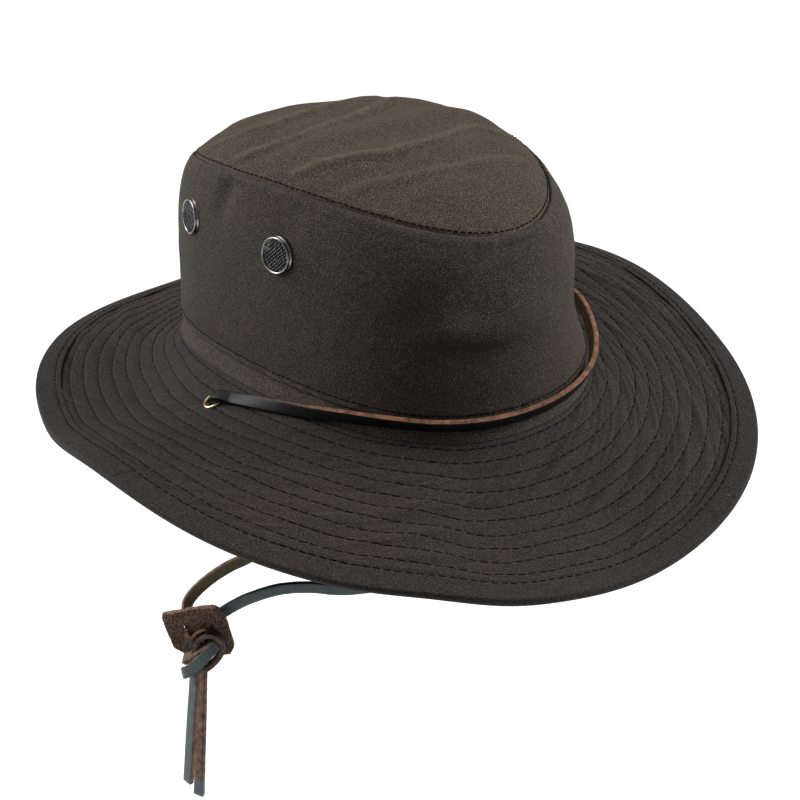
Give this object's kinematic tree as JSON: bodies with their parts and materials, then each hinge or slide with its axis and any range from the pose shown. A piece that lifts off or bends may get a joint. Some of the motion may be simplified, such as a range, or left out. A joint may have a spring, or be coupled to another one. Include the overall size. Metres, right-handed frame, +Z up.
{
  "type": "bush hat",
  "caption": "Soft oval-crowned hat of waxed cotton with a wide stitched brim, metal side vents, and a flat leather chin lace held by a suede slider and a knot.",
  "frame": {"origin": "middle of the head opening, level with the seam between crown and brim", "axes": "+Z up through the crown, front of the hat towards -Y, wearer's left towards +X"},
  "size_m": [0.3173, 0.3589, 0.3361],
  "materials": {
    "waxed_cotton": "waxed, dull, finely speckled, rows of stitching on the brim",
    "waxed_cotton_trim": "waxed, dull",
    "vent_metal": "dark nickel, rolled and polished",
    "vent_gauze": "woven black gauze",
    "eyelet_brass": "bright, worn",
    "lace_leather": "smooth black grain, raw tan edges, olive flesh side",
    "slider_suede": "brown suede"
  },
  "bodies": {
    "root": {"crown_side": "waxed_cotton", "crown_tip": "waxed_cotton", "crown_band": "waxed_cotton_trim", "brim": "waxed_cotton", "brim_binding": "waxed_cotton_trim", "vent_rim_right_front": "vent_metal", "vent_mesh_right_front": "vent_gauze", "vent_rim_right_rear": "vent_metal", "vent_mesh_right_rear": "vent_gauze", "vent_rim_left_front": "vent_metal", "vent_mesh_left_front": "vent_gauze", "vent_rim_left_rear": "vent_metal", "vent_mesh_left_rear": "vent_gauze", "brim_eyelet_right": "eyelet_brass", "brim_eyelet_left": "eyelet_brass", "lace_round_crown": "lace_leather", "lace_strand_near": "lace_leather", "lace_strand_far": "lace_leather", "lace_slider": "slider_suede", "lace_knot": "lace_leather", "lace_tail_short": "lace_leather", "lace_tail_long": "lace_leather"}
  },
  "joints": []
}
